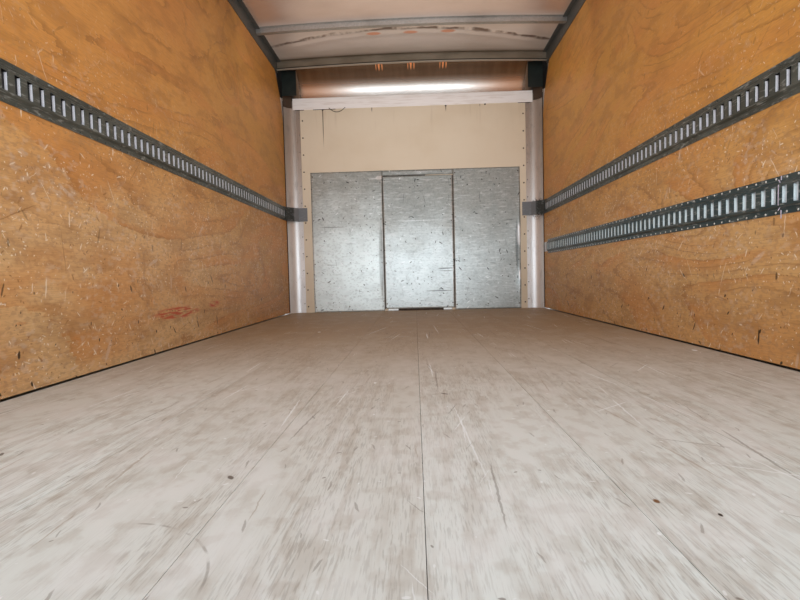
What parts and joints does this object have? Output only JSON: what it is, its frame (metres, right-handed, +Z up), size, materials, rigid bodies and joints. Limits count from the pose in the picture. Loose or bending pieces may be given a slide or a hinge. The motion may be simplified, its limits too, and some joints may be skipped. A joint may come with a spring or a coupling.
{
  "type": "box truck cargo body",
  "caption": "Dry-freight cargo box of a box truck, off its chassis, plywood lined, with logistic tracks, roof bows, rounded nose and open rear swing doors.",
  "frame": {"origin": "centre of the overall box in plan, with both doors open, at the undersides of the long sills", "axes": "+X to the body's right as seen from its rear, +Y forward to the nose, +Z up"},
  "size_m": [2.7748, 5.0296, 2.62],
  "materials": {
    "sill_paint": "black chassis paint",
    "hardwood": "worn bare hardwood",
    "rail_alloy": "mill extrusion",
    "galvanised": "galvanised",
    "white_sheet": "white pre-painted sheet",
    "plywood": "clear-finished rotary-cut plywood",
    "pale_filler": "white painted strip",
    "track_paint": "grey-green painted steel",
    "track_blue": "dark blue-green painted steel",
    "mill_sheet": "mill sheet, dulled",
    "cap_alloy": "cast and polished",
    "gusset_paint": "dark primer",
    "casting": "dark brown, weathered",
    "post_alloy": "mill extrusion",
    "pale_lining": "cream faced board",
    "cap_sheet": "pale painted sheet",
    "wear_plate": "galvanised, scratched",
    "cleat_wood": "dark softwood",
    "frame_paint": "white painted steel",
    "zinc_steel": "zinc plated",
    "amber_lens": "moulded lens",
    "red_lens": "moulded lens",
    "door_face": "white faced panel"
  },
  "bodies": {
    "body": {"long_sill_left": "sill_paint", "long_sill_right": "sill_paint", "cross_beams": "sill_paint", "floor_boards": "hardwood", "bottom_rail_left": "rail_alloy", "bottom_rail_right": "rail_alloy", "front_sill": "sill_paint", "side_posts_left": "galvanised", "side_posts_right": "galvanised", "side_skin_left": "white_sheet", "side_skin_right": "white_sheet", "lining_left_lower": "plywood", "lining_left_upper": "plywood", "lining_right_lower": "plywood", "lining_right_middle": "plywood", "lining_right_upper": "plywood", "track_fillers": "pale_filler", "track_left": "track_paint", "track_right_upper": "track_paint", "track_right_lower": "track_blue", "corner_straps": "track_paint", "top_rail_left": "rail_alloy", "top_rail_right": "rail_alloy", "roof_bows": "galvanised", "front_bow": "galvanised", "roof_skin": "mill_sheet", "nose_panel": "mill_sheet", "corner_cap_left": "cap_alloy", "corner_cap_right": "cap_alloy", "corner_gussets": "gusset_paint", "corner_castings": "casting", "corner_post_left": "post_alloy", "corner_post_right": "post_alloy", "front_skin": "white_sheet", "front_posts": "galvanised", "front_lining": "pale_lining", "lining_cap": "cap_sheet", "wear_plates": "wear_plate", "access_panel": "wear_plate", "doorway_jamb": "galvanised", "doorway_cleat": "cleat_wood", "rear_post_left": "frame_paint", "rear_post_right": "frame_paint", "rear_sill": "frame_paint", "rear_header": "frame_paint", "frame_hinges_left": "zinc_steel", "frame_hinges_right": "zinc_steel", "lock_keepers": "zinc_steel", "marker_lamps_front": "amber_lens", "marker_lamps_rear": "red_lens"},
    "door_left": {"door_left": "door_face", "door_hardware_left": "zinc_steel"},
    "door_right": {"door_right": "door_face", "door_hardware_right": "zinc_steel"}
  },
  "joints": [
    {"name": "door_left_hinge", "type": "hinge", "parent": "body", "child": "door_left", "pos_m": [-1.3104, -2.50482, 0.232], "axis": [0, 0, 1], "range_deg": [0, 270]},
    {"name": "door_right_hinge", "type": "hinge", "parent": "body", "child": "door_right", "pos_m": [1.3104, -2.50482, 0.232], "axis": [0, 0, -1], "range_deg": [0, 270]}
  ]
}
